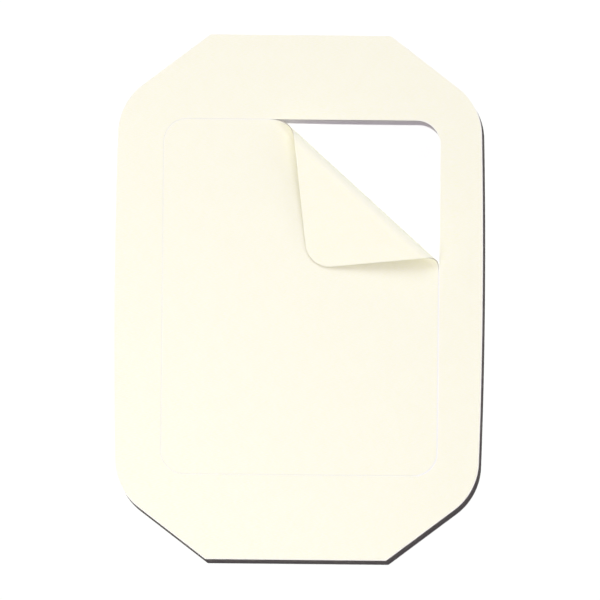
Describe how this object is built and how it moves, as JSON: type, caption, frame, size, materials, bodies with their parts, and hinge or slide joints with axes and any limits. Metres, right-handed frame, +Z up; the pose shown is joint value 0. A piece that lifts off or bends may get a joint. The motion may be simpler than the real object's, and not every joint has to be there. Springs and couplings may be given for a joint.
{
  "type": "transparent film dressing",
  "caption": "Clear adhesive film dressing on a white release liner, held flat by a cream card frame whose window cover is peeled back at one corner.",
  "frame": {"origin": "centre of the release liner's underside, on the surface that the dressing lies on", "axes": "+X across the dressing towards the peeled corner's side, +Y along it towards the peeled end, +Z up out of its face"},
  "size_m": [0.1, 0.1424, 0.0051],
  "materials": {
    "liner_paper": "smooth siliconed white paper",
    "clear_film": "clear polyurethane film with a soft gloss",
    "cream_card": "uncoated pale cream card, die-cut"
  },
  "bodies": {
    "root": {"release_liner": "liner_paper", "film": "clear_film", "carrier_frame": "cream_card", "window_cover": "cream_card"}
  },
  "joints": []
}
